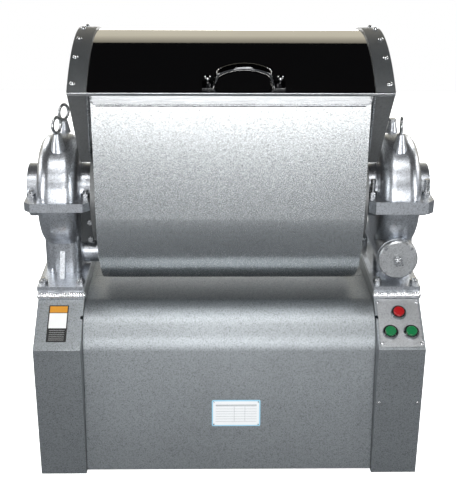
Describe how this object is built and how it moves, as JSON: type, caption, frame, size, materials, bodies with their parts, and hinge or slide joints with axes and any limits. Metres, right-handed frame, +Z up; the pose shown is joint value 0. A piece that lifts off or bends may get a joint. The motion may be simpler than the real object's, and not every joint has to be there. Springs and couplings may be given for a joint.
{
  "type": "tilting drum dough mixer",
  "caption": "Floor-standing drum dough mixer: tilting steel trough with a kneading cage, rotating domed hood with bow handle, cast trunnion housings and a sheet-metal stand with push buttons.",
  "frame": {"origin": "on the floor under the middle of the machine", "axes": "+X to the operator's right along the trunnion axis, +Y to the back, +Z up"},
  "size_m": [0.829, 0.4822, 0.8822],
  "materials": {
    "hammer_paint": "silver hammer paint, satin with fine sparkle",
    "casting_paint": "glossy silver paint over a cast surface",
    "blasted_steel": "bead-blasted stainless, satin",
    "bright_steel": "polished stainless edges",
    "mirror_steel": "mirror-polished stainless sheet",
    "hood_paint": "dark grey satin paint",
    "chrome": "polished chrome",
    "zinc": "zinc-plated fasteners",
    "bronze": "cast bronze, machined",
    "tool_steel": "ground and hobbed steel",
    "pulley_iron": "machined grey iron",
    "belt_rubber": "matt black rubber",
    "frame_paint": "dark primer",
    "motor_paint": "blue-grey motor enamel",
    "plate_aluminium": "anodised control plate",
    "black_plastic": "matt black plastic",
    "red_plastic": "gloss red",
    "green_plastic": "gloss green"
  },
  "bodies": {
    "stand": {"left_column": "hammer_paint", "right_column": "hammer_paint", "front_panel": "hammer_paint", "rear_panel": "hammer_paint", "base_frame": "frame_paint", "machine_bed": "frame_paint", "left_housing": "casting_paint", "left_housing_cap": "casting_paint", "right_housing": "casting_paint", "right_housing_cap": "casting_paint", "worm_cap": "casting_paint", "worm_cap_bolts": "zinc", "eye_bolts": "zinc", "breather_plug": "zinc", "split_bolts": "zinc", "foot_bolts": "zinc", "control_plate": "plate_aluminium", "plate_screws": "zinc", "button_bezels": "chrome", "button_bodies": "black_plastic", "trunnion_bushes": "bronze", "shaft_bearings": "tool_steel", "pinion_bearings": "tool_steel", "drive_belts": "belt_rubber", "drive_motor": "motor_paint", "drive_gearbox": "motor_paint", "worm_bearings": "tool_steel", "tilt_motor": "motor_paint", "tilt_belt": "belt_rubber", "belt_guard": "hammer_paint", "cable_gland": "black_plastic", "panel_screws": "zinc"},
    "agitator": {"agitator_shaft": "blasted_steel", "agitator_cage": "blasted_steel", "main_gear": "tool_steel"},
    "pinion": {"pinion_shaft": "tool_steel", "pinion_pulley": "pulley_iron"},
    "gearbox_output": {"gearbox_pulley": "pulley_iron"},
    "trough": {"trough_shell": "blasted_steel", "trough_end_left": "blasted_steel", "trough_end_right": "blasted_steel", "trough_rim": "bright_steel", "shaft_seals": "belt_rubber", "worm_wheel": "bronze"},
    "worm": {"worm_shaft": "tool_steel", "worm_pulley": "pulley_iron"},
    "tilt_drive_pulley": {"tilt_motor_pulley": "pulley_iron"},
    "lid": {"lid_sheet": "mirror_steel", "lid_side_plates": "bright_steel", "lid_cheek_left": "hood_paint", "lid_cheek_right": "hood_paint", "lid_bands": "hood_paint", "lid_edges": "bright_steel", "lid_rivets": "bright_steel", "lid_bushes": "bronze", "lid_handle": "chrome", "handle_posts": "chrome"},
    "stop_push": {"stop_button": "red_plastic"},
    "start_push": {"start_button": "green_plastic"},
    "tilt_push": {"tilt_button": "green_plastic"}
  },
  "joints": [
    {"name": "agitator_spin", "type": "hinge", "parent": "stand", "child": "agitator", "pos_m": [0, 0, 0.544], "axis": [1, 0, 0], "continuous": true},
    {"name": "pinion_spin", "type": "hinge", "parent": "stand", "child": "pinion", "pos_m": [0, 0, 0.408], "axis": [1, 0, 0], "continuous": true},
    {"name": "gearbox_spin", "type": "hinge", "parent": "stand", "child": "gearbox_output", "pos_m": [0, 0, 0.15], "axis": [1, 0, 0], "continuous": true},
    {"name": "trough_tilt", "type": "hinge", "parent": "stand", "child": "trough", "pos_m": [0, 0, 0.544], "axis": [1, 0, 0], "range_deg": [0, 90]},
    {"name": "worm_spin", "type": "hinge", "parent": "stand", "child": "worm", "pos_m": [0.34525, 0, 0.43], "axis": [0, 1, 0], "range_deg": [0, 3960]},
    {"name": "tilt_pulley_spin", "type": "hinge", "parent": "stand", "child": "tilt_drive_pulley", "pos_m": [0.32425, 0, 0.13], "axis": [0, 1, 0], "range_deg": [0, 3960]},
    {"name": "lid_swing", "type": "hinge", "parent": "stand", "child": "lid", "pos_m": [0, 0, 0.544], "axis": [-1, 0, 0], "range_deg": [0, 85]},
    {"name": "stop_press", "type": "slide", "parent": "stand", "child": "stop_push", "axis": [0, 0.5547, -0.8321], "range_m": [0, 0.003], "stiffness_N_per_m": 600, "springref_m": -0.002},
    {"name": "start_press", "type": "slide", "parent": "stand", "child": "start_push", "axis": [0, 0.5547, -0.8321], "range_m": [0, 0.003], "stiffness_N_per_m": 600, "springref_m": -0.002},
    {"name": "tilt_press", "type": "slide", "parent": "stand", "child": "tilt_push", "axis": [0, 0.5547, -0.8321], "range_m": [0, 0.003], "stiffness_N_per_m": 600, "springref_m": -0.002}
  ],
  "couplings": [
    {"joint": "pinion_spin", "follows": "agitator_spin", "ratio": -2.4},
    {"joint": "gearbox_spin", "follows": "agitator_spin", "ratio": -3.0234},
    {"joint": "worm_spin", "follows": "trough_tilt", "ratio": 44},
    {"joint": "tilt_pulley_spin", "follows": "trough_tilt", "ratio": 44}
  ]
}
